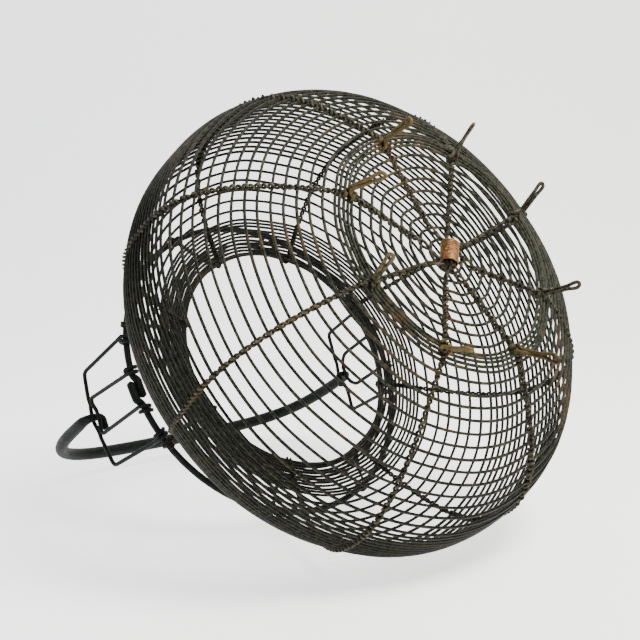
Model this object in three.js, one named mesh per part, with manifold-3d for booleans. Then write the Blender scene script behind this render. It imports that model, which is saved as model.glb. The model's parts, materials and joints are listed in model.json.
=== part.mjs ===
// Wire fruit picker basket: a round woven wire body on hairpin feet, a thick rim
// hoop, two wire ears and a swinging bail handle.
// Millimetres, +Z up. The origin is on the ground, under the centre of the belly.
// The two ears, and so the bail's hinge line, lie along X.
import * as THREE from 'three';
import { mergeVertices } from 'three/addons/utils/BufferGeometryUtils.js';
import Module from 'manifold-3d';

// ---- driving dimensions -------------------------------------------------------
const FOOT_HEIGHT = 30;      // ground to the middle of the base hoops
const BASE_RADIUS = 84;      // circle of feet, where the base turns up into the wall
const BELLY_RADIUS = 175;
const BELLY_HEIGHT = 104;    // this and the heights below are above the base
const NECK_RADIUS = 88;
const NECK_HEIGHT = 196;
const RIM_RADIUS = 124;      // centre line of the thick rim hoop
const RIM_HEIGHT = 224;
const MOUTH_LEAN = 15;       // the mouth has settled this far towards +Y
const LEAN_POWER = 1.5;      // how late above the belly the lean sets in
const LOWER_FULLNESS = 2.4;  // how round the wall is below the belly,
const UPPER_FULLNESS = 2.8;  // and above it
const COLLAR_FLARE = 1.3;    // how late the collar turns outwards
const CENTRE_DRIFT = [7.6, -8];  // the base's bound centre sits this far off the axis

const HOOP_SKIN = 2.1;       // thickness of the hoops, and of the shells that stand for them
const RIB_DIAMETER = 4;      // a twisted pair of wires
const FOOT_WIRE = 2.6;
const EAR_WIRE = 3.2;
const RIM_WIRE = 5;
const BAIL_ROD = 10.5;
const PIN_DIAMETER = 6;      // the bail's ends, where they pass through the ears
const TOUCH_GAP = 0.3;       // left between pieces that touch
const PIN_CLEARANCE = 0.4;   // the bail's ends turn freely in the ears

const RIB_COUNT = 8;
const RIB_FIRST_ANGLE = 22.5;  // degrees from the hinge line, at the rim
const RIB_DRIFT = 8.8;         // degrees that a rib wanders between rim and base
const RIB_BOWS = [0, 0, 0, 0, 0, 0, 0, 3.2];  // degrees that each rib bows sideways on the wall
const RIB_START_RADIUS = 11;
const RIB_TIE_PITCH = 4.6;     // sideways travel of the rib end in its turn round the rim
const RIB_TIE_TURN = 345;      // degrees that the rib end turns round the rim hoop
const TIE_STEPS = 10;          // straight stretches in a full turn round the rim hoop

const EAR_X = 128;           // distance of an ear's top bar from the basket's axis
const EYE_HEIGHT = 62;       // bail hinge above the rim hoop
const EAR_CORNER = 4;        // bend radius of the ear wires
const EAR_TURNS = 1.25;      // turns of an ear wire round the rim hoop
const EAR_TIE_PITCH = 3.7;   // sideways travel of each turn

const BAIL_HALF_WIDTH = 135.7;
const BAIL_RISE = 105;       // top of the bail above its hinge
const BAIL_SQUARENESS = 3.7; // 2 would be a plain half ellipse

const LAP_CENTRE = -4.2;     // along the rim hoop, from the middle of the right ear
const LAP_HALF_LENGTH = 5.5; // the rim hoop's two ends lie side by side this far
const LAP_BLEND = 5;         // length over which each end moves aside

const BINDING_RADIUS = 6.2;
const BINDING_LENGTH = 15;
const BUNDLE_RADIUS = 4.2;
const BUNDLE_LENGTH = 21;

// How each foot has been bent out of true: [outwards, sideways, degrees turned], by rib.
const FOOT_SPREAD = [
  [-11, 3, 70], [-2, 2, 70], [4, -5, 60], [6, -8, 0],
  [6, 4, 0], [18, 4, 75], [15, 3, 0], [2, 5, 30],
];

// The two wires of each ear. At either side of the ear, a wire stands on the rim hoop at
// its foot and bends into its bar at its corner. Outside its straight middle the bar
// falls away to its corners, by the drops.
const EAR_SHAPES = {
  right: {
    outer: { feet: [38, -43.4], corners: [36, -42], drops: [6, 6], straight: 17 },
    inner: { feet: [8.5, -17], corners: [15, -15], drops: [0, 0], straight: 5 },
  },
  left: {
    outer: { feet: [38, -38], corners: [33, -40], drops: [-3, 4], straight: 17 },
    inner: { feet: [15, -15], corners: [15, -15], drops: [10, 10], straight: 5 },
  },
};

// ---- materials ----------------------------------------------------------------
const iron = (color, roughness) =>
  new THREE.MeshStandardMaterial({ color, roughness, metalness: 0.7 });
const netIron = () => iron(0x4a4c40, 0.7);
const ribIron = () => iron(0x6b5638, 0.8);
const rustedFoot = () => iron(0x7a5430, 0.85);
const blackIron = () => iron(0x2a2f2c, 0.55);
const copperWire = () => iron(0xa86c4e, 0.6);

// ---- general helpers ----------------------------------------------------------
const radians = THREE.MathUtils.degToRad;
const smooth = (t) => THREE.MathUtils.smoothstep(t, 0, 1);

// A curve that passes straight through its waypoints, one section at each of them.
class Waypoints extends THREE.Curve {
  constructor(points) {
    super();
    this.points = points;
  }
  getPoint(t, target = new THREE.Vector3()) {
    const last = this.points.length - 1;
    const place = THREE.MathUtils.clamp(t, 0, 1) * last;
    const index = Math.min(Math.floor(place), last - 1);
    return target.lerpVectors(this.points[index], this.points[index + 1], place - index);
  }
  getPointAt(u, target) {
    return this.getPoint(u, target);
  }
  getTangentAt(u, target = new THREE.Vector3()) {
    const step = 0.5 / (this.points.length - 1);
    const ahead = this.getPoint(Math.min(u + step, 1));
    return target.copy(ahead).sub(this.getPoint(Math.max(u - step, 0))).normalize();
  }
}

// A round wire of one diameter along a list of waypoints.
function wire(points, diameter, sides = 6) {
  const section = new THREE.Shape();
  for (let i = 0; i < sides; i += 1) {
    const angle = (2 * Math.PI * i) / sides;
    const x = (diameter / 2) * Math.cos(angle);
    const y = (diameter / 2) * Math.sin(angle);
    if (i === 0) section.moveTo(x, y);
    else section.lineTo(x, y);
  }
  section.closePath();
  const path = new Waypoints(points);
  return new THREE.ExtrudeGeometry(section, {
    steps: points.length - 1, bevelEnabled: false, extrudePath: path,
  });
}

// A point given by radius, angle and height about the basket's axis, moved sideways.
function around(radius, angle, height, sideways = 0) {
  return new THREE.Vector3(
    radius * Math.cos(angle) - sideways * Math.sin(angle),
    radius * Math.sin(angle) + sideways * Math.cos(angle),
    height,
  );
}

// Heights above the base become heights above the ground, the body leans, and the
// middle of the base drifts off the axis.
function place(geometry) {
  const position = geometry.attributes.position;
  const belowWall = HOOP_SKIN;
  for (let i = 0; i < position.count; i += 1) {
    const [x, y, height] = [position.getX(i), position.getY(i), position.getZ(i)];
    const span = RIM_HEIGHT - BELLY_HEIGHT;
    const share = THREE.MathUtils.clamp((height - BELLY_HEIGHT) / span, 0, 1);
    const lean = MOUTH_LEAN * share ** LEAN_POWER;
    const inner = Math.max(1 - Math.hypot(x, y) / BASE_RADIUS, 0);
    const drift = height < belowWall ? inner : 0;
    position.setX(i, x + CENTRE_DRIFT[0] * drift);
    position.setY(i, y + CENTRE_DRIFT[1] * drift + lean);
    position.setZ(i, height + FOOT_HEIGHT);
  }
  return geometry;
}

const basket = new THREE.Group();
basket.name = 'fruit_picker_basket';

function add(name, geometry, material) {
  const mesh = new THREE.Mesh(place(geometry), material);
  mesh.name = name;
  basket.add(mesh);
}

// ---- the outline of the body ----------------------------------------------------
// Radius of the woven wall at a height above the base.
function wallRadius(height) {
  if (height < BELLY_HEIGHT) {
    const below = 1 - height / BELLY_HEIGHT;
    return BASE_RADIUS + (BELLY_RADIUS - BASE_RADIUS) * (1 - below ** LOWER_FULLNESS);
  }
  const above = (height - BELLY_HEIGHT) / (NECK_HEIGHT - BELLY_HEIGHT);
  return BELLY_RADIUS - (BELLY_RADIUS - NECK_RADIUS) * above ** UPPER_FULLNESS;
}

// The flared collar runs on from the neck to the rim hoop.
function collarRadius(height) {
  const t = (height - NECK_HEIGHT) / (RIM_HEIGHT - NECK_HEIGHT);
  return NECK_RADIUS + (RIM_RADIUS - NECK_RADIUS) * t ** COLLAR_FLARE;
}

const WALL_STEPS = 14;
const COLLAR_STEPS = 5;
const outlinePoints = [];
for (let i = 0; i < WALL_STEPS; i += 1) {
  const height = (NECK_HEIGHT * i) / WALL_STEPS;
  outlinePoints.push(new THREE.Vector2(wallRadius(height), height));
}
for (let i = 0; i <= COLLAR_STEPS; i += 1) {
  const height = NECK_HEIGHT + ((RIM_HEIGHT - NECK_HEIGHT) * i) / COLLAR_STEPS;
  outlinePoints.push(new THREE.Vector2(collarRadius(height), height));
}
const outline = new THREE.SplineCurve(outlinePoints);

// A point on the outline, moved out of the wall by a distance.
function outlineAt(u, outwards) {
  const point = outline.getPointAt(u);
  const tangent = outline.getTangentAt(u);
  return new THREE.Vector2(point.x + tangent.y * outwards, point.y - tangent.x * outwards);
}

// ---- woven hoops ----------------------------------------------------------------
const HOOP_SEGMENTS = 40;
const ROW_STEPS = 2;         // straight steps across a row of wall hoops

// A closed ring turned about the basket's axis from a closed outline.
function turned(profile, segments = HOOP_SEGMENTS) {
  const closed = [...profile, profile[0]];
  return new THREE.LatheGeometry(closed, segments).rotateX(Math.PI / 2);
}

// A row of wall hoops, as a thin shell between two places on the outline.
function hoopBand(from, to, steps) {
  const outside = [];
  const inside = [];
  for (let i = 0; i <= steps; i += 1) {
    const u = from + ((to - from) * i) / steps;
    outside.push(outlineAt(u, HOOP_SKIN / 2));
    inside.push(outlineAt(u, -HOOP_SKIN / 2));
  }
  return turned([...outside, ...inside.reverse()]);
}

// A row of base hoops, as a flat ring.
function baseRing(inner, outer) {
  const half = HOOP_SKIN / 2;
  return turned([
    new THREE.Vector2(inner, -half), new THREE.Vector2(outer, -half),
    new THREE.Vector2(outer, half), new THREE.Vector2(inner, half),
  ]);
}

const BASE_HOLE = 14;
const BASE_SPLIT = 48;
const SPLIT = 0.0008;        // of the outline's length, between two rows
add('base_hoops_inner', baseRing(BASE_HOLE, BASE_SPLIT - TOUCH_GAP), netIron());
add('base_hoops_outer', baseRing(BASE_SPLIT, BASE_RADIUS - 1), netIron());
const COLLAR_END = 0.93;     // bare ribs run on from here to the rim hoop
// Each row's name, and where along the outline it starts.
const rows = [
  ['heel_hoops', 0], ['lower_wall_hoops', 0.13], ['upper_wall_hoops', 0.24],
  ['lower_belly_hoops', 0.335], ['upper_belly_hoops', 0.42], ['lower_shoulder_hoops', 0.51],
  ['upper_shoulder_hoops', 0.59], ['lower_neck_hoops', 0.68], ['neck_hoops', 0.775],
  ['upper_neck_hoops', 0.82], ['collar_hoops', 0.865],
];
rows.forEach(([name, from], i) => {
  const to = i + 1 < rows.length ? rows[i + 1][1] : COLLAR_END;
  add(name, hoopBand(from + SPLIT, to - SPLIT, ROW_STEPS), netIron());
});

// ---- ribs -----------------------------------------------------------------------
const CHORD_SLACK = 0.5;     // the straight stretches of a rib cut this far into its curve
const RIB_OFFSET = HOOP_SKIN / 2 + TOUCH_GAP + CHORD_SLACK + RIB_DIAMETER / 2;
const ribRimAngle = (index) => radians(RIB_FIRST_ANGLE + (360 / RIB_COUNT) * index);
function ribAngleAt(index, height) {
  const rise = THREE.MathUtils.clamp(height / RIM_HEIGHT, 0, 1);
  const bow = RIB_BOWS[index] * Math.sin(Math.PI * Math.sqrt(rise));
  return ribRimAngle(index) + radians(RIB_DRIFT * (1 - rise) + bow);
}

// A turn round the rim hoop, in its own plane: [radius, height, sideways] places.
function rimTurn(radius, startAngle, endAngle, steps, sideways) {
  const places = [];
  for (let i = 0; i <= steps; i += 1) {
    const angle = startAngle + ((endAngle - startAngle) * i) / steps;
    places.push([
      RIM_RADIUS + radius * Math.cos(angle),
      RIM_HEIGHT + radius * Math.sin(angle),
      (sideways * i) / steps,
    ]);
  }
  return places;
}

// Outwards under the base, up outside the wall, then once round the rim hoop.
function ribPoints(index) {
  const points = [];
  const addPlace = (radius, height, sideways = 0) => {
    points.push(around(radius, ribAngleAt(index, height), height, sideways));
  };
  const baseStops = [RIB_START_RADIUS, BASE_RADIUS / 2, BASE_RADIUS - 2];
  for (const radius of baseStops) addPlace(radius, -RIB_OFFSET);
  const wallSteps = 17;
  const wallStart = 0.008;
  const wallEnd = 0.955;
  for (let i = 0; i <= wallSteps; i += 1) {
    const u = wallStart + ((wallEnd - wallStart) * i) / wallSteps;
    const { x: radius, y: height } = outlineAt(u, RIB_OFFSET);
    addPlace(radius, height);
  }
  const turnRadius = RIM_WIRE / 2 + TOUCH_GAP + RIB_DIAMETER / 2;
  const turnStart = radians(-48);
  const turnEnd = turnStart + radians(RIB_TIE_TURN);
  const turnSteps = Math.round((TIE_STEPS * RIB_TIE_TURN) / 360);
  const awayFromEar = Math.sign(Math.sin(2 * ribRimAngle(index)));
  const travel = awayFromEar * RIB_TIE_PITCH;
  const turn = rimTurn(turnRadius, turnStart, turnEnd, turnSteps, travel);
  for (const [radius, height, sideways] of turn) addPlace(radius, height, sideways);
  return points;
}

for (let i = 0; i < RIB_COUNT; i += 1) {
  add(`rib_${i + 1}`, wire(ribPoints(i), RIB_DIAMETER), ribIron());
}

// ---- the bound crossing in the middle of the base ---------------------------------
// All the ribs run into one short bundle, which a fine wire binds.
const BUNDLE_RIB = 2;
function alongBundle(geometry) {
  return geometry.rotateZ(ribAngleAt(BUNDLE_RIB, 0) - Math.PI / 2).translate(0, 0, -RIB_OFFSET);
}
const bindingBore = BUNDLE_RADIUS + TOUCH_GAP;
add('rib_bundle', alongBundle(new THREE.LatheGeometry([
  new THREE.Vector2(0, -BUNDLE_LENGTH / 2),
  new THREE.Vector2(BUNDLE_RADIUS, -BUNDLE_LENGTH / 2),
  new THREE.Vector2(BUNDLE_RADIUS, BUNDLE_LENGTH / 2),
  new THREE.Vector2(0, BUNDLE_LENGTH / 2),
], 12)), ribIron());
add('centre_binding', alongBundle(new THREE.LatheGeometry([
  new THREE.Vector2(bindingBore, -BINDING_LENGTH / 2),
  new THREE.Vector2(BINDING_RADIUS, -BINDING_LENGTH / 2),
  new THREE.Vector2(BINDING_RADIUS, BINDING_LENGTH / 2),
  new THREE.Vector2(bindingBore, BINDING_LENGTH / 2),
  new THREE.Vector2(bindingBore, -BINDING_LENGTH / 2),
], 16)), copperWire());

// ---- feet -----------------------------------------------------------------------
// Each foot is a hairpin under a rib. Its round end is worn to a small flat.
const FOOT_ROOT = -RIB_OFFSET - RIB_DIAMETER / 2 - TOUCH_GAP;
const FOOT_WEAR = 0.45;      // depth worn off the round end
const FOOT_LOOP = 3.6;       // half widths of the hairpin: at its round end,
const FOOT_MIDDLE = 2.6;     // half way up,
const FOOT_TOP = 1.7;        // and where it meets the rib
const wasm = await Module();
wasm.setup();

function toSolid(geometry) {
  const bare = geometry.clone();
  bare.deleteAttribute('normal');
  bare.deleteAttribute('uv');
  const merged = mergeVertices(bare, 1e-4);
  return new wasm.Manifold(new wasm.Mesh({
    numProp: 3,
    vertProperties: new Float32Array(merged.attributes.position.array),
    triVerts: new Uint32Array(merged.index.array),
  }));
}

function toGeometry(solid) {
  const mesh = solid.getMesh();
  const geometry = new THREE.BufferGeometry();
  geometry.setAttribute('position', new THREE.BufferAttribute(mesh.vertProperties, 3));
  geometry.setIndex(new THREE.BufferAttribute(mesh.triVerts, 1));
  return geometry;
}

function footPoints(index) {
  const [outwards, sideways, turned] = FOOT_SPREAD[index];
  const ground = -FOOT_HEIGHT;
  const loopCentre = ground + FOOT_WIRE / 2 - FOOT_WEAR + FOOT_LOOP;
  const middle = (FOOT_ROOT + loopCentre) / 2;
  const shape = [[-FOOT_TOP, FOOT_ROOT], [-FOOT_MIDDLE, middle]];
  const loopSteps = 6;
  for (let i = 0; i <= loopSteps; i += 1) {
    const angle = Math.PI + (Math.PI * i) / loopSteps;
    shape.push([FOOT_LOOP * Math.cos(angle), loopCentre + FOOT_LOOP * Math.sin(angle)]);
  }
  shape.push([FOOT_MIDDLE, middle], [FOOT_TOP, FOOT_ROOT]);
  return shape.map(([across, height]) => {
    const bend = (FOOT_ROOT - height) / (FOOT_ROOT - ground);
    const radial = outwards * bend + across * Math.sin(radians(turned));
    const tangential = sideways * bend + across * Math.cos(radians(turned));
    return around(BASE_RADIUS + radial, ribAngleAt(index, 0), height, tangential);
  });
}

// A block wider than the basket between two heights, for trimming.
function slab(bottom, top) {
  const width = 4 * BELLY_RADIUS;
  const box = new THREE.BoxGeometry(width, width, top - bottom);
  return toSolid(box.translate(0, 0, (bottom + top) / 2));
}
const aboveRoot = slab(FOOT_ROOT, 0);
const underGround = slab(-2 * FOOT_HEIGHT, -FOOT_HEIGHT);
for (let i = 0; i < RIB_COUNT; i += 1) {
  const hairpin = toSolid(wire(footPoints(i), FOOT_WIRE));
  const worn = hairpin.subtract(underGround).subtract(aboveRoot);
  add(`foot_${i + 1}`, toGeometry(worn), rustedFoot());
}

// ---- rim hoop ---------------------------------------------------------------------
// One bar bent round until its ends lie side by side, inside the right ear.
function rimPoints() {
  const points = [];
  const addPlace = (radius, angle) => {
    points.push(around(radius, angle + LAP_CENTRE / RIM_RADIUS, RIM_HEIGHT));
  };
  const aside = RIM_WIRE / 2 + TOUCH_GAP / 2;
  const lapStops = [-LAP_HALF_LENGTH, 0, LAP_HALF_LENGTH, LAP_HALF_LENGTH + LAP_BLEND / 2,
    LAP_HALF_LENGTH + LAP_BLEND].map((length) => length / RIM_RADIUS);
  const offsetAt = (angle) => {
    const along = angle * RIM_RADIUS - LAP_HALF_LENGTH;
    return aside * (1 - smooth(along / LAP_BLEND));
  };
  for (const angle of lapStops) addPlace(RIM_RADIUS - offsetAt(angle), angle);
  const steps = 46;
  const first = lapStops[lapStops.length - 1];
  for (let i = 1; i < steps; i += 1) {
    const angle = first + ((2 * Math.PI - 2 * first) * i) / steps;
    addPlace(RIM_RADIUS, angle);
  }
  for (const angle of lapStops.reverse()) addPlace(RIM_RADIUS + offsetAt(angle), -angle);
  return points;
}
add('rim_hoop', wire(rimPoints(), RIM_WIRE, 8), blackIron());

// ---- ears -------------------------------------------------------------------------
const EYE_Z = RIM_HEIGHT + EYE_HEIGHT;
const EAR_COIL_RADIUS = RIM_WIRE / 2 + TOUCH_GAP + EAR_WIRE / 2;
const EYE_HALF_OPENING = 5;  // along the bar, how far the two wires stand fully apart

// Half of the space between the two bars of an ear, which open round the bail's end.
function barOffset(across) {
  const together = EAR_WIRE / 2 + TOUCH_GAP / 2;
  const open = PIN_DIAMETER / 2 + PIN_CLEARANCE + EAR_WIRE / 2;
  const t = (Math.abs(across) - EYE_HALF_OPENING / 2) / (2 * EYE_HALF_OPENING);
  return open + (together - open) * smooth(t);
}

// A place on a wire's bar. Level is +1 for the wire that passes over the bail's end and
// -1 for the one under it.
function barPoint(shape, level, across) {
  const side = across > 0 ? 0 : 1;
  const corner = Math.abs(shape.corners[side]);
  const share = (Math.abs(across) - shape.straight) / (corner - shape.straight);
  const fall = shape.drops[side] * THREE.MathUtils.clamp(share, 0, 1);
  return new THREE.Vector3(EAR_X, across, EYE_Z + level * barOffset(across) - fall);
}

// One leg of an ear wire: turns round the rim hoop, then up to the corner of the bar.
function earLeg(shape, level, tieSide, side) {
  const across = shape.feet[side];
  const corner = barPoint(shape, level, shape.corners[side]);
  const outwards = Math.sign(across);
  const angle = Math.asin(across / RIM_RADIUS);
  const points = [];
  const steps = Math.round(TIE_STEPS * EAR_TURNS);
  const turns = rimTurn(EAR_COIL_RADIUS, radians(-360 * EAR_TURNS), 0, steps, 1);
  for (const [radius, height, share] of turns) {
    const travel = outwards * tieSide * EAR_TIE_PITCH * EAR_TURNS * (1 - share);
    points.push(around(radius, angle, height, travel));
  }
  const foot = points[points.length - 1];
  const bendShare = EAR_CORNER / corner.distanceTo(foot);
  const bendStart = new THREE.Vector3().lerpVectors(corner, foot, bendShare);
  const bendEnd = barPoint(shape, level, corner.y - outwards * EAR_CORNER);
  const bend = new THREE.QuadraticBezierCurve3(bendStart, corner, bendEnd);
  points.push(new THREE.Vector3().lerpVectors(foot, bendStart, 0.06));
  points.push(...bend.getPoints(3));
  return points;
}

function earPoints(shape, level, tieSide) {
  const knee = shape.straight;
  const middle = [];
  for (let step = 4; step >= -4; step -= 1) middle.push((step * EYE_HALF_OPENING) / 2);
  const stops = knee > middle[0] ? [knee, ...middle, -knee] : middle;
  const bar = stops.map((across) => barPoint(shape, level, across));
  const otherLeg = earLeg(shape, level, tieSide, 1).reverse();
  return [...earLeg(shape, level, tieSide, 0), ...bar, ...otherLeg];
}

function earOn(side, points) {
  return points.map((p) => (side > 0 ? p.clone() : new THREE.Vector3(-p.x, -p.y, p.z)));
}

for (const [sideName, side] of [['right', 1], ['left', -1]]) {
  const shapes = EAR_SHAPES[sideName];
  const outer = earOn(side, earPoints(shapes.outer, 1, -1));
  const inner = earOn(side, earPoints(shapes.inner, -1, 1));
  add(`ear_outer_wire_${sideName}`, wire(outer, EAR_WIRE), blackIron());
  add(`ear_inner_wire_${sideName}`, wire(inner, EAR_WIRE), blackIron());
}

// ---- bail -------------------------------------------------------------------------
const TIP_X = EAR_X - 5.7;   // the bent-over tip lies along the inside of the bars
const TIP_LENGTH = 11;
const TIP_BEND = 3.5;        // radius of the bend between the pin and the tip

// Half of the bail from its bent-over tip to the top: [across, forwards, up, radius].
function bailHalf() {
  const pin = PIN_DIAMETER / 2;
  const rod = BAIL_ROD / 2;
  const tip = [
    [TIP_X, -TIP_LENGTH, 0, pin * 0.6], [TIP_X, 1 - TIP_LENGTH, 0, pin * 0.8],
    [TIP_X, -TIP_BEND - 1.5, 0, pin * 0.9],
  ];
  const tipBend = [180, 150, 120, 90].map((degrees) => [
    TIP_X + TIP_BEND * (1 + Math.cos(radians(degrees))),
    TIP_BEND * (Math.sin(radians(degrees)) - 1), 0, pin * 0.95,
  ]);
  const shoulder = [
    [EAR_X + 2, 0, 0, pin], [BAIL_HALF_WIDTH - 3, 0, 1.2, pin * 1.1],
    [BAIL_HALF_WIDTH - 0.8, 0, 4.6, pin * 1.25], [BAIL_HALF_WIDTH, 0, 11, rod * 0.85],
  ];
  const places = [...tip, ...tipBend, ...shoulder];
  const steps = 13;
  const firstTurn = 0.13;    // radians of the arch taken up by the bend
  for (let i = 0; i <= steps; i += 1) {
    const angle = firstTurn + (Math.PI / 2 - firstTurn) * (i / steps);
    const across = BAIL_HALF_WIDTH * Math.cos(angle) ** (2 / BAIL_SQUARENESS);
    const up = BAIL_RISE * Math.sin(angle) ** (2 / BAIL_SQUARENESS);
    const thick = rod * (0.92 + 0.08 * smooth(i / steps));
    places.push([i === steps ? 0 : across, 0, up, thick]);
  }
  return places;
}

// A turned bar, bent afterwards so that its middle line follows the waypoints.
function bentBar(points, radii, sides = 8) {
  const last = points.length - 1;
  const profile = [new THREE.Vector2(0, 0)];
  radii.forEach((radius, i) => profile.push(new THREE.Vector2(radius, i)));
  profile.push(new THREE.Vector2(0, last));
  const bar = new THREE.LatheGeometry(profile, sides);
  const frames = new Waypoints(points).computeFrenetFrames(last, false);
  const position = bar.attributes.position;
  const vertex = new THREE.Vector3();
  for (let i = 0; i < position.count; i += 1) {
    const index = Math.round(position.getY(i));
    vertex.copy(points[index]);
    vertex.addScaledVector(frames.normals[index], position.getX(i));
    vertex.addScaledVector(frames.binormals[index], -position.getZ(i));
    position.setXYZ(i, vertex.x, vertex.y, vertex.z);
  }
  return bar;
}

const half = bailHalf();
const otherHalf = half.slice(0, -1).reverse().map(([across, ...rest]) => [-across, ...rest]);
const bailPlaces = [...half, ...otherHalf];
const bailPoints = bailPlaces.map(([across, forwards, up]) =>
  new THREE.Vector3(across, forwards, EYE_Z + up));
const bailRadii = bailPlaces.map(([, , , radius]) => radius);
add('bail', bentBar(bailPoints, bailRadii), blackIron());

export default basket;
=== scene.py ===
import json
import math
import random

import bpy
import numpy as np
from mathutils import Matrix, Vector

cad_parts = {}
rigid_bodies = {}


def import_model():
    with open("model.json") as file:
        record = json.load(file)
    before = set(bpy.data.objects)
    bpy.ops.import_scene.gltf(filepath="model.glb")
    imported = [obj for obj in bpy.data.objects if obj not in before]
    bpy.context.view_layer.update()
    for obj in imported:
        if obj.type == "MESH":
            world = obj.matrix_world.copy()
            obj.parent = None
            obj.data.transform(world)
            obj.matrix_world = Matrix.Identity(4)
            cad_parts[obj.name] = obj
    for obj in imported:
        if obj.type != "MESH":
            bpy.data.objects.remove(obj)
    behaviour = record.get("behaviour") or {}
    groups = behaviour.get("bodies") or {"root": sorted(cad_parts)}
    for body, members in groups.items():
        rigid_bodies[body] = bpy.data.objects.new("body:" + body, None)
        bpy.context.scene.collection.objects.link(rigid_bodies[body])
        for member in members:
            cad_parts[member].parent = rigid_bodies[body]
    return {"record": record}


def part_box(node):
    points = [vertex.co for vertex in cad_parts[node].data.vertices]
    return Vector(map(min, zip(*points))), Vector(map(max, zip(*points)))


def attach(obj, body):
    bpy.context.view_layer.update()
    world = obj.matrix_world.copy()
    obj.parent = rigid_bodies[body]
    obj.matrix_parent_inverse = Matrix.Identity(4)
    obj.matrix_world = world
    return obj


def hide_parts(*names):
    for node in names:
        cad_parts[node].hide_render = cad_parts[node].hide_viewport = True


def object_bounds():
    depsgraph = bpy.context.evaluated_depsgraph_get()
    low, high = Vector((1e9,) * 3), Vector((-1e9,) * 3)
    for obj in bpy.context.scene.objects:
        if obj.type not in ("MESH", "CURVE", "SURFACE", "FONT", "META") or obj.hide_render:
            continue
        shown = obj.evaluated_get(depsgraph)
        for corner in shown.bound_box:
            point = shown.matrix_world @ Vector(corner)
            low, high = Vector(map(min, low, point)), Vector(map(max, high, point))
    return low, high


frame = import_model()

MM = 0.001
cad_lo, cad_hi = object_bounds()

# ---- sizes that the frame gives ---------------------------------------------------
base_lo, base_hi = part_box("base_hoops_outer")
rim_lo, rim_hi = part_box("rim_hoop")
_, belly_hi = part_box("upper_belly_hoops")
_, bail_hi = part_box("bail")
HINGE = next(j for j in frame["record"]["behaviour"]["joints"] if j["name"] == "bail_swing")

SHELL_SKIN = 2.1             # thickness of the frame's stand-in shells
FOOT_HEIGHT = (base_lo.z + base_hi.z) / 2 / MM
BASE_RADIUS = base_hi.x / MM + 1
BELLY_RADIUS = belly_hi.x / MM - SHELL_SKIN / 2
MOUTH_LEAN = HINGE["pos_m"][1] / MM
RIM_WIRE = (rim_hi.z - rim_lo.z) / MM
RIM_HEIGHT = (rim_lo.z + rim_hi.z) / 2 / MM - FOOT_HEIGHT
HINGE_HEIGHT = HINGE["pos_m"][2] / MM - FOOT_HEIGHT
BAIL_TOP = bail_hi.z / MM - FOOT_HEIGHT

# ---- sizes shared with the frame, which it doesn't give on their own ----------------
RIM_RADIUS = 124
BELLY_HEIGHT = 104
NECK_RADIUS = 88
NECK_HEIGHT = 196
LEAN_POWER = 1.5             # how late above the belly the lean sets in
LOWER_FULLNESS = 2.4         # how round the wall is below the belly,
UPPER_FULLNESS = 2.8         # and above it
COLLAR_FLARE = 1.3           # how late the collar turns outwards
RIB_COUNT = 8
RIB_FIRST_ANGLE = 22.5       # degrees from the hinge line, at the rim
RIB_DRIFT = 8.8              # degrees that a rib wanders between rim and base
RIB_BOWS = (0, 0, 0, 0, 0, 0, 0, 3.2)  # degrees that each rib bows sideways on the wall
EAR_X = 128                  # distance of an ear's top bar from the basket's axis
EAR_CORNER = 4
EAR_TIE_PITCH = 3.7
BAIL_HALF_WIDTH = 135.7
BAIL_SQUARENESS = 3.7
BAIL_TAPER = 0.92            # the rod's thickness near the ears, for that at its top
CENTRE_DRIFT = np.array([7.6, -8])   # the base's bound centre sits this far off the axis
FOOT_SPREAD = [              # each foot's bend: outwards, sideways, degrees turned
    (-11, 3, 70), (-2, 2, 70), (4, -5, 60), (6, -8, 0),
    (6, 4, 0), (18, 4, 75), (15, 3, 0), (2, 5, 30),
]
# The two wires of each ear: where each stands on the rim hoop, where it bends into its
# bar, how far the bar falls away to its corners, and how wide the bar's middle is.
EAR_SHAPES = {
    "right": {
        "outer": {"feet": (38, -43.4), "corners": (36, -42), "drops": (6, 6), "straight": 17},
        "inner": {"feet": (8.5, -17), "corners": (15, -15), "drops": (0, 0), "straight": 5},
    },
    "left": {
        "outer": {"feet": (38, -38), "corners": (33, -40), "drops": (-3, 4), "straight": 17},
        "inner": {"feet": (15, -15), "corners": (15, -15), "drops": (10, 10), "straight": 5},
    },
}

# ---- wires --------------------------------------------------------------------------
HOOP_WIRE = 2.1
RIB_WIRE = 2.0
FOOT_WIRE = 2.6
EAR_WIRE = 3.2
BAIL_ROD = 10.5
PIN_DIAMETER = 6
BINDING_WIRE = 1.25
BINDING_TURNS = 13
BINDING_REACH = 5.4          # radius of the binding's turns

HOOP_PITCH = 8.4             # between the open hoops, along the wall
FIRST_BASE_RING = 13         # radius
LAST_BASE_RING = 71
BASE_RING_COUNT = 8
FOOT_RING_COUNT = 5          # the close hoops that the feet stand on
FOOT_RING_PITCH = 3
HOOP_ZONES = (               # up to each height above the base, the pitch along the wall
    (86, HOOP_PITCH), (150, 4.5), (184, HOOP_PITCH), (199, 2.9), (213, 4.8),
)


# ---- the outline of the body ----------------------------------------------------------
def wall_radius(height):
    below = np.clip(1 - height / BELLY_HEIGHT, 0, 1)
    above = np.clip((height - BELLY_HEIGHT) / (NECK_HEIGHT - BELLY_HEIGHT), 0, 1)
    lower = BASE_RADIUS + (BELLY_RADIUS - BASE_RADIUS) * (1 - below ** LOWER_FULLNESS)
    return lower - (BELLY_RADIUS - NECK_RADIUS) * above ** UPPER_FULLNESS


def collar_radius(height):
    t = (height - NECK_HEIGHT) / (RIM_HEIGHT - NECK_HEIGHT)
    return NECK_RADIUS + (RIM_RADIUS - NECK_RADIUS) * np.clip(t, 0, 1) ** COLLAR_FLARE


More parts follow.
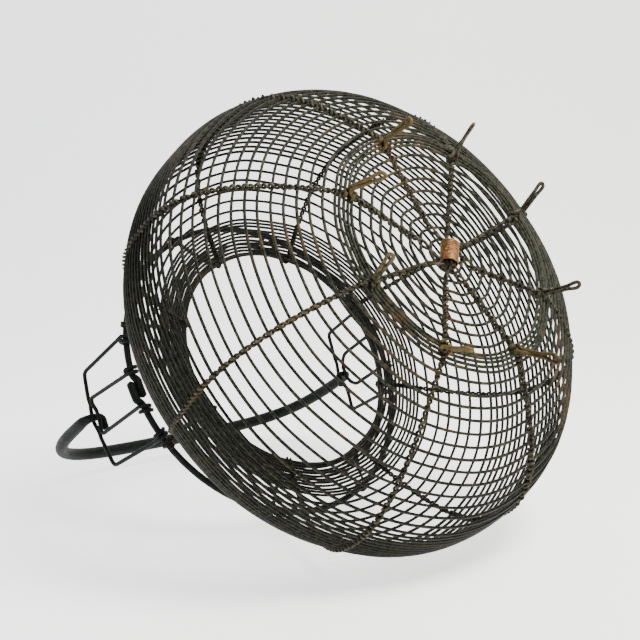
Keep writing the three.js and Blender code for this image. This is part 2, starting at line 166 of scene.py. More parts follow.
class Meridian:
    """The body's outline by distance along it, from the middle of the base to the rim."""

    def __init__(self, step=0.5, rounding=17):
        base_r = np.arange(0, BASE_RADIUS, step)
        wall_h = np.linspace(0, NECK_HEIGHT, 900)
        collar_h = np.linspace(NECK_HEIGHT, RIM_HEIGHT, 200)[1:]
        radius = np.concatenate([base_r, wall_radius(wall_h), collar_radius(collar_h)])
        height = np.concatenate([np.zeros_like(base_r), wall_h, collar_h])
        length = self.lengths(radius, height)
        even = np.arange(0, length[-1], step)
        radius, height = np.interp(even, length, radius), np.interp(even, length, height)
        pad = rounding // 2
        kernel = np.ones(rounding) / rounding
        self.radius, self.height = radius.copy(), height.copy()
        self.radius[pad:-pad] = np.convolve(radius, kernel, "valid")
        self.height[pad:-pad] = np.convolve(height, kernel, "valid")
        self.length = self.lengths(self.radius, self.height)
        self.out_r = np.gradient(self.height, self.length)
        self.out_h = -np.gradient(self.radius, self.length)

    @staticmethod
    def lengths(radius, height):
        return np.concatenate([[0], np.cumsum(np.hypot(np.diff(radius), np.diff(height)))])

    def at(self, distance, outwards=0.0):
        """Radius and height at a distance along, moved out of the wall."""
        out_r = np.interp(distance, self.length, self.out_r)
        out_h = np.interp(distance, self.length, self.out_h)
        radius = np.interp(distance, self.length, self.radius) + outwards * out_r
        return radius, np.interp(distance, self.length, self.height) + outwards * out_h

    def where_height(self, height):
        return float(np.interp(height, self.height, self.length))


meridian = Meridian()
HEEL = BASE_RADIUS           # distance along the meridian where the base turns up
NECK = meridian.where_height(NECK_HEIGHT)


def rib_angle(index, height):
    """Radians from +X, at a height above the base."""
    rise = np.clip(height / RIM_HEIGHT, 0, 1)
    bow = RIB_BOWS[index] * np.sin(np.pi * np.sqrt(rise))
    return np.radians(RIB_FIRST_ANGLE + 360 / RIB_COUNT * index + RIB_DRIFT * (1 - rise) + bow)


def lean(points):
    """Heights above the base become heights above the ground, the body leans, and the
    middle of the base drifts off the axis."""
    points = np.array(points, dtype=float)
    inner = np.clip(1 - np.hypot(points[:, 0], points[:, 1]) / BASE_RADIUS, 0, 1)
    points[:, :2] += np.where(points[:, 2] < HOOP_PITCH, inner, 0)[:, None] * CENTRE_DRIFT
    share = np.clip((points[:, 2] - BELLY_HEIGHT) / (RIM_HEIGHT - BELLY_HEIGHT), 0, 1)
    points[:, 1] += MOUTH_LEAN * share ** LEAN_POWER
    points[:, 2] += FOOT_HEIGHT
    return points


def around(radius, angle, height, sideways=0.0):
    """Points given by radius, angle and height about the axis, moved sideways."""
    radius, angle, height, sideways = np.broadcast_arrays(radius, angle, height, sideways)
    return np.stack([
        radius * np.cos(angle) - sideways * np.sin(angle),
        radius * np.sin(angle) + sideways * np.cos(angle),
        height,
    ], axis=-1).astype(float)


# ---- swept wires ------------------------------------------------------------------------
def smooth_path(points, per_span=4):
    """A Catmull-Rom curve through the points."""
    p = np.vstack([2 * points[0] - points[1], points, 2 * points[-1] - points[-2]])
    spans = len(points) - 1
    t = np.arange(spans * per_span + 1) / per_span
    i = np.minimum(t.astype(int), spans - 1)
    f = (t - i)[:, None]
    a, b, c, d = p[i], p[i + 1], p[i + 2], p[i + 3]
    return 0.5 * (2 * b + (c - a) * f + (2 * a - 5 * b + 4 * c - d) * f ** 2
                  + (3 * b - a - 3 * c + d) * f ** 3)


def unit(v):
    return v / np.maximum(np.linalg.norm(v, axis=-1, keepdims=True), 1e-9)


def section_axes(path, closed):
    """Two directions across the path at each point, turning no more than they must."""
    if closed:
        tangent = unit(np.roll(path, -1, axis=0) - np.roll(path, 1, axis=0))
        across = unit(np.cross(tangent, [0.0, 0.0, 1.0]))
        return across, np.cross(tangent, across)
    tangent = unit(np.gradient(path, axis=0))
    start = np.cross(tangent[0], [0.0, 0.0, 1.0])
    if np.linalg.norm(start) < 0.1:
        start = np.cross(tangent[0], [1.0, 0.0, 0.0])
    across = np.empty_like(path)
    across[0] = unit(start)
    for i in range(1, len(path)):
        carried = across[i - 1] - tangent[i] * np.dot(across[i - 1], tangent[i])
        across[i] = unit(carried)
    return across, np.cross(tangent, across)


class Piece:
    """One visible piece: swept wires collected into a single mesh object."""

    def __init__(self, name):
        self.name = name
        self.points, self.faces, self.tones, self.rusts = [], [], [], []
        self.count = 0

    def sweep(self, path, radius, closed=False, sides=8, flatten=None, tone=0.5, rust=0.5):
        """A round wire. The radius, tone and rust may vary along it, and flatten scales one
        way across."""
        path = np.asarray(path, dtype=float)
        across, up = section_axes(path, closed)
        turn = 2 * np.pi * np.arange(sides) / sides
        radius = np.broadcast_to(radius, (len(path),))[:, None, None]
        squash = np.broadcast_to(1.0 if flatten is None else flatten, (len(path),))
        ring = (across[:, None] * np.cos(turn)[None, :, None]
                + up[:, None] * np.sin(turn)[None, :, None] * squash[:, None, None])
        first = self.count
        self.points.append((path[:, None] + ring * radius).reshape(-1, 3))
        rows = len(path) if closed else len(path) - 1
        for i in range(rows):
            here = first + i * sides
            there = first + (i + 1) % len(path) * sides
            for j in range(sides):
                k = (j + 1) % sides
                self.faces.append((here + j, here + k, there + k, there + j))
        if not closed:
            last = first + (len(path) - 1) * sides
            self.faces.append(tuple(first + j for j in reversed(range(sides))))
            self.faces.append(tuple(last + j for j in range(sides)))
        self.count += len(path) * sides
        self.tones.append(np.repeat(np.broadcast_to(tone, (len(path),)), sides))
        self.rusts.append(np.repeat(np.broadcast_to(rust, (len(path),)), sides))

    def make(self, material, body, slot, *nodes):
        mesh = bpy.data.meshes.new(self.name)
        points = np.vstack(self.points) * MM
        mesh.from_pydata(points.tolist(), [], self.faces)
        for name, values in (("tone", self.tones), ("rust", self.rusts)):
            attribute = mesh.attributes.new(name, "FLOAT", "POINT")
            attribute.data.foreach_set("value", np.concatenate(values).astype(np.float32))
        mesh.polygons.foreach_set("use_smooth", [True] * len(mesh.polygons))
        mesh.materials.append(material)
        mesh.update()
        obj = bpy.data.objects.new(self.name, mesh)
        bpy.context.scene.collection.objects.link(obj)
        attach(obj, body)
        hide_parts(*nodes)
        return obj


# ---- materials -----------------------------------------------------------------------------
class Nodes:
    """Small helper to lay out a material's nodes."""

    def __init__(self, name):
        self.material = bpy.data.materials.new(name)
        self.material.use_nodes = True
        self.tree = self.material.node_tree
        self.shader = self.tree.nodes["Principled BSDF"]
        self.place = self.add("ShaderNodeTexCoord").outputs["Object"]

    def add(self, kind, **settings):
        node = self.tree.nodes.new(kind)
        for key, value in settings.items():
            setattr(node, key, value)
        return node

    def link(self, source, socket):
        self.tree.links.new(source, socket)

    def noise(self, scale, detail=4, roughness=0.6, distortion=0.0):
        node = self.add("ShaderNodeTexNoise")
        node.inputs["Scale"].default_value = scale
        node.inputs["Detail"].default_value = detail
        node.inputs["Roughness"].default_value = roughness
        node.inputs["Distortion"].default_value = distortion
        self.link(self.place, node.inputs["Vector"])
        return node.outputs["Fac"]

    def remap(self, value, low, high, to_low=0.0, to_high=1.0):
        node = self.add("ShaderNodeMapRange")
        for socket, number in zip(("From Min", "From Max", "To Min", "To Max"),
                                  (low, high, to_low, to_high)):
            node.inputs[socket].default_value = number
        self.link(value, node.inputs["Value"])
        return node.outputs["Result"]

    def math(self, operation, a, b):
        node = self.add("ShaderNodeMath", operation=operation)
        for socket, value in zip(node.inputs, (a, b)):
            if isinstance(value, (int, float)):
                socket.default_value = value
            else:
                self.link(value, socket)
        return node.outputs[0]

    def mix(self, share, a, b, blend="MIX"):
        node = self.add("ShaderNodeMix", data_type="RGBA", blend_type=blend)
        for socket, value in ((node.inputs[0], share), (node.inputs[6], a), (node.inputs[7], b)):
            if isinstance(value, (int, float)):
                socket.default_value = value
            elif isinstance(value, tuple):
                socket.default_value = (*value, 1)
            else:
                self.link(value, socket)
        return node.outputs[2]

    def attribute(self, name):
        return self.add("ShaderNodeAttribute", attribute_name=name).outputs["Fac"]

    def bump(self, height, distance, strength):
        node = self.add("ShaderNodeBump")
        node.inputs["Distance"].default_value = distance
        node.inputs["Strength"].default_value = strength
        self.link(height, node.inputs["Height"])
        self.link(node.outputs["Normal"], self.shader.inputs["Normal"])


def aged_iron(name, dark, light, rust, rust_from, rust_to, metallic=0.12,
              rough=(0.42, 0.72), pits=0.5):
    """Iron with a mottled skin, worn light patches, rust in blotches, and fine pits."""
    n = Nodes(name)
    mottle = n.noise(420, detail=5, roughness=0.65)
    skin = n.mix(n.remap(mottle, 0.43, 0.66), dark, light)
    broad = n.noise(17, detail=3)
    blotch = n.noise(120, detail=5, roughness=0.7, distortion=0.6)
    rusting = n.math("ADD", n.math("MULTIPLY", broad, 0.55), n.math("MULTIPLY", blotch, 0.45))
    rusting = n.math("ADD", rusting, n.remap(n.attribute("rust"), 0, 1, -0.14, 0.14))
    share = n.remap(rusting, rust_from, rust_to)
    deep_rust = tuple(0.45 * c for c in rust)
    rust_tone = n.mix(n.remap(n.noise(700, detail=4), 0.35, 0.65), deep_rust, rust)
    colour = n.mix(share, skin, rust_tone)
    # The tone attribute scales the colour: random tone from piece to piece, and on the hoops and ribs
    # painted light and shade as well.
    tone = n.remap(n.attribute("tone"), 0, 1, 0.3, 1.7)
    grey = n.add("ShaderNodeCombineColor")
    for channel in grey.inputs:
        n.link(tone, channel)
    colour = n.mix(1.0, colour, grey.outputs[0], blend="MULTIPLY")
    n.link(colour, n.shader.inputs["Base Color"])
    n.shader.inputs["Metallic"].default_value = metallic
    n.shader.inputs["Specular IOR Level"].default_value = SHINE
    n.link(n.remap(mottle, 0.3, 0.7, *rough), n.shader.inputs["Roughness"])
    n.bump(n.noise(1500, detail=4, roughness=0.7), 0.00035, pits)
    return n.material


SHINE = 0.1                  # reflection where the iron is skinned over
NET_DARK, NET_LIGHT = (0.002, 0.0035, 0.002), (0.058, 0.06, 0.036)
RUST, OCHRE = (0.125, 0.083, 0.033), (0.155, 0.112, 0.045)


def make_materials():
    return {
        "net": aged_iron("net_iron", NET_DARK, NET_LIGHT, (0.12, 0.075, 0.036), 0.53, 0.66,
                         metallic=0.12, rough=(0.38, 0.66)),
        "rib": aged_iron("rib_iron", (0.009, 0.0085, 0.006), (0.115, 0.102, 0.07), RUST, 0.48, 0.66,
                         rough=(0.5, 0.8)),
        "foot_rusty": aged_iron("rusty_foot_iron", (0.022, 0.017, 0.008), (0.125, 0.092, 0.038), OCHRE,
                                0.38, 0.52, rough=(0.5, 0.8)),
        "foot_grey": aged_iron("grey_foot_iron", (0.015, 0.014, 0.009), (0.12, 0.108, 0.072),
                               OCHRE, 0.56, 0.7),
        "black": aged_iron("black_iron", (0.002, 0.003, 0.0025), (0.011, 0.014, 0.012),
                           (0.045, 0.033, 0.021), 0.58, 0.75, rough=(0.45, 0.68), pits=0.35),
        "binding": aged_iron("coppery_wire", (0.17, 0.075, 0.028), (0.42, 0.24, 0.115), OCHRE,
                             0.5, 0.64, metallic=0.5, rough=(0.35, 0.6)),
    }


# ---- hoops -------------------------------------------------------------------------------------
HOOP_SEGMENTS = 176
BASE_SAG = 0.022             # how far a base ring bows out between ribs, for its radius
WALL_ROWS = ("heel_hoops", "lower_wall_hoops", "upper_wall_hoops", "lower_belly_hoops",
             "upper_belly_hoops", "lower_shoulder_hoops", "upper_shoulder_hoops",
             "lower_neck_hoops", "neck_hoops", "upper_neck_hoops", "collar_hoops")
ANGLES = 2 * np.pi * np.arange(HOOP_SEGMENTS) / HOOP_SEGMENTS


def hoop_stations(rng):
    """Where each hoop lies along the meridian, from the middle outwards and up."""
    rings = np.linspace(FIRST_BASE_RING, LAST_BASE_RING, BASE_RING_COUNT)
    stations = [ring + rng.uniform(-0.07, 0.07) * HOOP_PITCH for ring in rings]
    ring_start = HEEL - FOOT_RING_PITCH * (FOOT_RING_COUNT - 1) / 2
    stations += [ring_start + FOOT_RING_PITCH * i for i in range(FOOT_RING_COUNT)]
    for height, pitch in HOOP_ZONES:
        end = meridian.where_height(height)
        while stations[-1] + pitch <= end:
            stations.append(stations[-1] + pitch * rng.uniform(0.93, 1.07))
    return stations


def hoop_patina_and_shade(station, rng):
    """Paler on the base and darker up the wall, nearly black at the neck: partly the wires' own
    patina, partly painted light on the base and painted shade up the wall and at the neck.
    """
    upwards = [0, HEEL, HEEL + 60, HEEL + 130, NECK]
    return float(np.interp(station, upwards, [0.5, 0.42, 0.26, 0.18, 0.03])) + rng.uniform(-0.1, 0.1)


class Wander:
    """A smooth, seeded unevenness over the body, from -1 to 1 or so."""

    def __init__(self, rng, harmonics=(2, 3, 5, 7, 11)):
        self.waves = [(n, rng.uniform(0, 6.28), rng.uniform(-1, 1) / 40, 1 / math.sqrt(n))
                      for n in harmonics]

    def at(self, angle, distance):
        total = sum(size * np.cos(n * angle + phase + drift * distance)
                    for n, phase, drift, size in self.waves)
        return total / sum(size for *_, size in self.waves) * 1.6


def between_ribs(angle, height):
    """0 at a rib, rising to 1 half way to the next."""
    return np.abs(np.sin(RIB_COUNT / 2 * (angle - rib_angle(0, height))))


def hoop_path(station, slip, swell, own):
    _, height = meridian.at(station)
    slack = between_ribs(ANGLES, height)
    on_base = float(np.clip((HEEL + 10 - station) / 20, 0, 1))
    outwards = 0.5 * slack * swell.at(ANGLES, station)
    sag = slack * (0.9 + (BASE_SAG * station - 0.9) * on_base)
    along = slack * (1.1 * slip.at(ANGLES, station) + 0.45 * own.at(ANGLES, station))
    along = along + sag * on_base
    outwards = outwards + sag * (1 - on_base)
    radius, rise = meridian.at(station + along, outwards)
    return around(radius, ANGLES, rise)


def hoop_row(station):
    """The frame's stand-in shell for a hoop at this place."""
    radius, height = meridian.at(station)
    if station < HEEL:
        return "base_hoops_inner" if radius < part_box("base_hoops_inner")[1].x / MM else (
            "base_hoops_outer")
    for row in WALL_ROWS:
        if height + FOOT_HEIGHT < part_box(row)[1].z / MM:
            return row
    return WALL_ROWS[-1]


def make_hoops(stations, materials, rng):
    slip, swell = Wander(rng), Wander(rng)
    pieces = {}
    for station in stations:
        row = hoop_row(station)
        piece = pieces.setdefault(row, Piece(row.replace("hoops", "wires")))
        path = hoop_path(station, slip, swell, Wander(rng))
        size = HOOP_WIRE / 2 * rng.uniform(0.93, 1.06)
        # Each hoop's tone is its patina together with painted light on the base and painted shade up
        # the wall and at the neck.
        piece.sweep(lean(path), size, closed=True, tone=hoop_patina_and_shade(station, rng), rust=0.45)
    for row, piece in pieces.items():
        piece.make(materials["net"], "basket", "net_wire", row)


# ---- ribs ----------------------------------------------------------------------------------------
BUNDLE_RIB = 2               # the bundle lies along this rib's line
BUNDLE_HALF_LENGTH = 10
BUNDLE_RING = 3.3            # radius of the circle of wires in the bundle
BUNDLE_DEPTH = -3.6
BUNDLE_BLEND = 24            # radius at which a rib has reached its own line
RIB_GRIP = (HOOP_WIRE + RIB_WIRE) / 2
RIB_TWIST = RIB_WIRE / 2 + 0.04
TURN_RADIUS = RIM_WIRE / 2 + 0.1 + RIB_WIRE / 2
RIB_TIE_PITCH = 4.6
OPEN_GAP = 6                 # between hoops this far apart a rib's wires cross twice
# Painted light and shade on the ribs: lighter on the ribs at the camera's side, darker on the far
# ones.
RIB_SIDE_SHADES = (0.5, 0.42, 0.34, 0.34, 0.38, 0.44, 0.5, 0.5)
BASE_RUST = 0.32             # of the ribs under the base; up the wall each has its own
RIB_RUSTS = (0.36, 0.25, 0.18, 0.15, 0.2, 0.32, 0.36, 0.7)
RUST_BLEND = 14              # height above the base over which the one becomes the other


def bundle_axis():
    angle = float(rib_angle(BUNDLE_RIB, 0))
    return np.array([math.cos(angle), math.sin(angle), 0.0])


def rib_end_sides():
    """+1 or -1 for each rib: the end of the bundle that it comes out of."""
    along = [math.cos(rib_angle(i, 0) - rib_angle(BUNDLE_RIB, 0)) for i in range(RIB_COUNT)]
    first = sorted(range(RIB_COUNT), key=lambda i: -along[i])[:RIB_COUNT // 2]
    return [1 if i in first else -1 for i in range(RIB_COUNT)]


def bundle_slot(wire):
    """Place of one of the eight wires in the bundle, across its axis."""
    axis = bundle_axis()
    side = np.array([-axis[1], axis[0], 0.0])
    if wire == 0:
        return np.array([0.0, 0.0, BUNDLE_DEPTH])
    angle = 2 * math.pi * wire / 7
    return side * BUNDLE_RING * math.cos(angle) + np.array(
        [0.0, 0.0, BUNDLE_DEPTH + BUNDLE_RING * math.sin(angle)])


def rib_wire_path(index, wire, stations, end_side, slot):
    end = stations[-1] + 3
    distance = np.arange(BUNDLE_BLEND * 0.4, end, 0.7)
    # The pair crosses twice between open hoops and once between close ones.
    crossings = np.where(np.diff(stations) > OPEN_GAP, 2, 1)
    twists = np.concatenate([[0], np.cumsum(crossings)])
    inside = np.clip((stations[0] - distance) / (HOOP_PITCH / 2), 0, 4)
    phase = np.pi * (np.interp(distance, stations, twists) - inside + wire)
    count = np.interp(distance, stations, np.arange(len(stations)))
    grip = np.cos(np.pi * count) ** 2 * np.clip(1 - (distance - stations[-1]) / 3, 0, 1)
    out = np.cos(phase) * (RIB_TWIST + (RIB_GRIP - RIB_TWIST) * grip)
    side = np.sin(phase) * RIB_TWIST
    radius, height = meridian.at(distance, out)
    _, middle_height = meridian.at(distance)
    body = around(radius, rib_angle(index, middle_height), height, side)
    # Towards the bundle the pair leaves the rib's line for its own place in the bundle.
    start = bundle_axis() * BUNDLE_HALF_LENGTH * end_side + bundle_slot(slot)
    share = np.clip((distance - distance[0]) / (BUNDLE_BLEND - distance[0]), 0, 1)[:, None]
    share = share * share * (3 - 2 * share)
    reach = distance < BUNDLE_BLEND
    body[reach] = (start * (1 - share) + body * share)[reach]
    # At the top it passes outside the rim hoop and once round it, beside its fellow.
    turn = np.radians(np.arange(-60, 315, 9.0))
    top_angle = float(rib_angle(index, RIM_HEIGHT))
    away_from_ear = np.sign(np.sin(2 * top_angle))
    travel = away_from_ear * np.linspace(0, RIB_TIE_PITCH, len(turn))
    travel = travel + (wire - 0.5) * (RIB_WIRE + 0.1)
    tie = around(RIM_RADIUS + TURN_RADIUS * np.cos(turn), top_angle,
                 RIM_HEIGHT + TURN_RADIUS * np.sin(turn), travel)
    return np.vstack([body, bridge_path(body[-1], tie[0]), tie])


def bridge_path(start, finish):
    """The bare stretch from the last hoop to the rim hoop."""
    steps = max(int(np.linalg.norm(finish - start) / 0.8), 3)
    t = np.arange(1, steps)[:, None] / steps
    return start * (1 - t) + finish * t


def make_ribs(stations, materials, rng):
    sides = rib_end_sides()
    taken = {1: 0, -1: 0}
    for index in range(RIB_COUNT):
        piece = Piece(f"rib_{index + 1}_twist")
        for wire in (0, 1):
            side = sides[index]
            path = rib_wire_path(index, wire, stations, side, taken[side])
            taken[side] += 1
            # Painted shade: each rib's tone fades to black towards the neck, and its rust fades there
            # too.
            upwards = [BELLY_HEIGHT, NECK_HEIGHT - 20, NECK_HEIGHT]
            fade = np.interp(path[:, 2], upwards, [1, 0.5, 0])
            tone = fade * (RIB_SIDE_SHADES[index] + rng.uniform(-0.08, 0.08))
            rust = np.interp(path[:, 2], [0, RUST_BLEND], [BASE_RUST, RIB_RUSTS[index]])
            piece.sweep(lean(path), RIB_WIRE / 2, tone=tone, rust=fade * rust)
        piece.make(materials["rib"], "basket", "rib_wire", f"rib_{index + 1}")


def make_crossing(materials, rng):
    """The wires of the bundle, and the fine wire that binds them."""
    axis = bundle_axis()
    crossing = Piece("crossing_wires")
    for wire in range(RIB_COUNT):
        along = np.linspace(-BUNDLE_HALF_LENGTH, BUNDLE_HALF_LENGTH, 12)[:, None]
        crossing.sweep(lean(along * axis + bundle_slot(wire)), RIB_WIRE / 2, tone=rng.random())
    crossing.make(materials["rib"], "basket", "rib_wire", "rib_bundle")

    side = np.array([-axis[1], axis[0], 0.0])
    length = BINDING_TURNS * BINDING_WIRE * 1.04
    t = np.linspace(0, 1, BINDING_TURNS * 28)[:, None]
    angle = 2 * np.pi * BINDING_TURNS * t
    reach = BINDING_REACH + 0.12 * np.sin(angle * 1.7 + 1) + 0.25 * np.abs(2 * t - 1) ** 3
    path = (axis * (t - 0.5) * length + side * reach * 1.08 * np.cos(angle)
            + np.array([0, 0, 1.0]) * (BUNDLE_DEPTH + reach * np.sin(angle)))
    binding = Piece("centre_binding_wire")
    binding.sweep(lean(path), BINDING_WIRE / 2, tone=0.5)
    binding.make(materials["binding"], "basket", "binding_wire", "centre_binding")


# ---- feet ----------------------------------------------------------------------------------------
FOOT_TOP = -4.2              # where the hairpin leaves the rib
FOOT_EYES = (2.1, 2.2, 2.1, 1.7, 2.5, 3.0, 2.3, 1.9)   # half width of each one's round end
FOOT_TURN_LENGTH = 7         # a turned foot has turned fully this far below the rib
FOOT_LEG = 1.34              # half width where its legs lie together
FOOT_COIL = RIB_TWIST + (RIB_WIRE + FOOT_WIRE) / 2
FOOT_COIL_TURNS = 0.9
RUSTY_FEET = (0, 1, 5, 6)


def foot_leg(side, eye):
    """One leg of a hairpin, from its round end up: [across, height] places."""
    ground = -FOOT_HEIGHT + 0.1
    centre = ground + FOOT_WIRE / 2 + eye * 1.15
    places = []
    for i in range(7):
        angle = -np.pi / 2 + np.pi / 2 * i / 6
        places.append((side * eye * np.cos(angle), centre + eye * 1.15 * np.sin(angle)))
    half_way = (eye + FOOT_LEG) / 2
    for height, half in ((centre + 2.6, (eye + half_way) / 2),
                         (centre + 5, (half_way + FOOT_LEG) / 2), (centre + 7, FOOT_LEG),
                         (centre + 12, FOOT_LEG), (FOOT_TOP - 1.5, FOOT_LEG)):
        places.append((side * half, height))
    return places


def make_foot(index, materials, rng):
    outwards, sideways, degrees_turned = FOOT_SPREAD[index]
    angle = float(rib_angle(index, 0))
    eye = FOOT_EYES[index]
    places = foot_leg(1, eye)[:0:-1] + foot_leg(-1, eye)

    def bent(across, height):
        bend = np.clip((FOOT_TOP - height) / (FOOT_TOP + FOOT_HEIGHT), 0, 1)
        turned = math.radians(degrees_turned) * np.clip((FOOT_TOP - height) / FOOT_TURN_LENGTH, 0, 1)
        radial = outwards * bend + across * np.sin(turned)
        return around(BASE_RADIUS + radial, angle, height,
                      across * np.cos(turned) + sideways * bend)

    hairpin = [bent(across, height) for across, height in places]

    def coil(side):
        """Turns of a leg's end round the rib, away from the hairpin."""
        points = []
        for i in range(int(FOOT_COIL_TURNS * 10)):
            turn = np.pi / 2 - side * 2 * np.pi * (i + 1.2) / 10
            along = side * (1.4 + 2.6 * (i + 1) / 10)
            points.append(around(BASE_RADIUS - 3 + along, angle, -FOOT_COIL * np.sin(turn),
                                 FOOT_COIL * np.cos(turn)))
        return points

    keys = coil(1)[::-1] + hairpin + coil(-1)
    piece = Piece(f"foot_{index + 1}_hairpin")
    piece.sweep(lean(smooth_path(np.array(keys), 5)), FOOT_WIRE / 2, sides=10,
                tone=rng.uniform(0.3, 0.8))
    material = materials["foot_rusty" if index in RUSTY_FEET else "foot_grey"]
    piece.make(material, "basket", "foot_wire", f"foot_{index + 1}")


# ---- rim hoop ------------------------------------------------------------------------------------
LAP_CENTRE = -4.2            # the lapped ends lie a little towards -Y
LAP_HALF_LENGTH = 7
LAP_BLEND = 5
LAP_SLIT = 0.1               # between the hammered ends
LAP_WIDENING = 0.3           # hammering widens each end by this share


def make_rim(materials):
    """One bar bent round until its hammered ends lie side by side."""
    length = np.concatenate([
        np.arange(-LAP_HALF_LENGTH, LAP_HALF_LENGTH + LAP_BLEND, 0.7),
        np.linspace(LAP_HALF_LENGTH + LAP_BLEND,
                    2 * np.pi * RIM_RADIUS - LAP_HALF_LENGTH - LAP_BLEND, 260),
        2 * np.pi * RIM_RADIUS - np.arange(-LAP_HALF_LENGTH, LAP_HALF_LENGTH + LAP_BLEND, 0.7)[::-1],
    ])
    from_start = length - LAP_HALF_LENGTH
    from_end = 2 * np.pi * RIM_RADIUS - length - LAP_HALF_LENGTH
    near = np.minimum(from_start, from_end)
    ease = 1 - np.clip(near / LAP_BLEND, 0, 1)
    ease = ease * ease * (3 - 2 * ease)
    side = np.where(from_start < from_end, -1, 1)
    aside = side * ease * (RIM_WIRE / 2 * (1 + LAP_WIDENING) + LAP_SLIT / 2)
    width = 1 + LAP_WIDENING * ease
    tip = np.clip((near + 2 * LAP_HALF_LENGTH) / 2.5, 0.0, 1)
    width = width * np.sqrt(np.clip(1 - (1 - tip) ** 2, 0.05, 1))
    path = around(RIM_RADIUS + aside, (length + LAP_CENTRE) / RIM_RADIUS, RIM_HEIGHT)
    piece = Piece("rim_hoop_bar")
    piece.sweep(lean(path), RIM_WIRE / 2 * width, sides=14, flatten=1 - 0.18 * ease)
    piece.make(materials["black"], "basket", "black_iron", "rim_hoop")


# ---- ears ----------------------------------------------------------------------------------------
EAR_COIL = RIM_WIRE / 2 + 0.1 + EAR_WIRE / 2
EAR_TURNS = 1.4


def bar_offset(across):
    """Half of the space between an ear's two bars, which open round the bail's end."""
    together = EAR_WIRE / 2 + 0.05
    opened = PIN_DIAMETER / 2 + EAR_WIRE / 2
    t = np.clip((np.abs(across) - 2.5) / 10, 0, 1)
    return opened + (together - opened) * t * t * (3 - 2 * t)


def bar_point(shape, level, across):
    """A place on a wire's bar, over (+1) or under (-1) the bail's end."""
    side = 0 if across > 0 else 1
    corner = abs(shape["corners"][side])
    share = np.clip((abs(across) - shape["straight"]) / (corner - shape["straight"]), 0, 1)
    fall = shape["drops"][side] * share
    return np.array([EAR_X, across, HINGE_HEIGHT + level * bar_offset(across) - fall])


def ear_leg(shape, level, tie_side, side):
    """Turns round the rim hoop, then up to the corner of the bar."""
    across = shape["feet"][side]
    corner = bar_point(shape, level, shape["corners"][side])
    outwards = math.copysign(1, across)
    angle = math.asin(across / RIM_RADIUS)
    steps = int(EAR_TURNS * 10)
    points = []
    for i in range(steps + 1):
        turn = -2 * np.pi * EAR_TURNS * (1 - i / steps)
        travel = outwards * tie_side * EAR_TIE_PITCH * EAR_TURNS * (1 - i / steps)
        points.append(around(RIM_RADIUS + EAR_COIL * np.cos(turn), angle,
                             RIM_HEIGHT + EAR_COIL * np.sin(turn), travel))
    foot = points[-1]
    rise = corner - foot
    length = np.linalg.norm(rise)
    for stop in (3.0, length * 0.35, length * 0.65, length - EAR_CORNER - 3, length - EAR_CORNER):
        points.append(foot + rise * stop / length)
    bar_start = bar_point(shape, level, corner[1] - outwards * EAR_CORNER)
    points.append((corner * 2 + points[-1] + bar_start) / 4)
    points.append(bar_start)
    return points


def ear_path(shape, level, tie_side):
    starts = [corner - math.copysign(EAR_CORNER + 1.5, corner) for corner in shape["corners"]]
    count = 15 if shape["straight"] > 10 else 9
    bar = [bar_point(shape, level, across) for across in np.linspace(*starts, count)]
    other = ear_leg(shape, level, tie_side, 1)[::-1]
    return np.array(ear_leg(shape, level, tie_side, 0) + bar + other)


def make_ears(materials):
    for side_name, side in (("right", 1), ("left", -1)):
        for wire_name, level, tie_side in (("outer", 1, -1), ("inner", -1, 1)):
            shape = EAR_SHAPES[side_name][wire_name]
            path = smooth_path(ear_path(shape, level, tie_side), 4)
            path = path * np.array([side, side, 1])
            piece = Piece(f"ear_{wire_name}_{side_name}")
            piece.sweep(lean(path), EAR_WIRE / 2, sides=12)
            piece.make(materials["black"], "basket", "black_iron",
                       f"ear_{wire_name}_wire_{side_name}")


# ---- bail ----------------------------------------------------------------------------
TIP_X = EAR_X - 5.7          # the bent-over tip lies along the inside of the bars
TIP_LENGTH = 11
TIP_BEND = 3.5               # radius of the bend between the pin and the tip
ARCH_STEPS = 26


def bail_half():
    """Half of the bail from its bent-over tip to the top: across, forwards, up, radius."""
    pin = PIN_DIAMETER / 2
    rod = BAIL_ROD / 2
    rise = BAIL_TOP - HINGE_HEIGHT - rod
    places = [
        (TIP_X, -TIP_LENGTH, 0, pin * 0.6), (TIP_X, 1 - TIP_LENGTH, 0, pin * 0.85),
        (TIP_X, -TIP_BEND - 1.5, 0, pin * 0.9),
    ]
    for degrees in (180, 150, 120, 90):
        turn = math.radians(degrees)
        places.append((TIP_X + TIP_BEND * (1 + math.cos(turn)),
                       TIP_BEND * (math.sin(turn) - 1), 0, pin * 0.95))
    places += [
        (EAR_X + 2, 0, 0, pin), (BAIL_HALF_WIDTH - 3, 0, 1.2, pin * 1.1),
        (BAIL_HALF_WIDTH - 0.8, 0, 4.6, pin * 1.25), (BAIL_HALF_WIDTH, 0, 11, rod * 0.85),
    ]
    first_turn = 0.13
    for i in range(ARCH_STEPS + 1):
        angle = first_turn + (np.pi / 2 - first_turn) * i / ARCH_STEPS
        across = BAIL_HALF_WIDTH * max(np.cos(angle), 0) ** (2 / BAIL_SQUARENESS)
        up = rise * np.sin(angle) ** (2 / BAIL_SQUARENESS)
        thick = rod * (BAIL_TAPER + (1 - BAIL_TAPER) * i / ARCH_STEPS)
        places.append((0 if i == ARCH_STEPS else across, 0, up, thick))
    return np.array(places, dtype=float)


def make_bail(materials):
    half = bail_half()
    other = half[-2::-1] * np.array([-1, 1, 1, 1])
    places = smooth_path(np.vstack([half, other]), 4)
    piece = Piece("bail_rod")
    path = places[:, :3] + np.array([0, 0, HINGE_HEIGHT])
    piece.sweep(lean(path), places[:, 3], sides=16)
    piece.make(materials["black"], "bail", "black_iron", "bail")


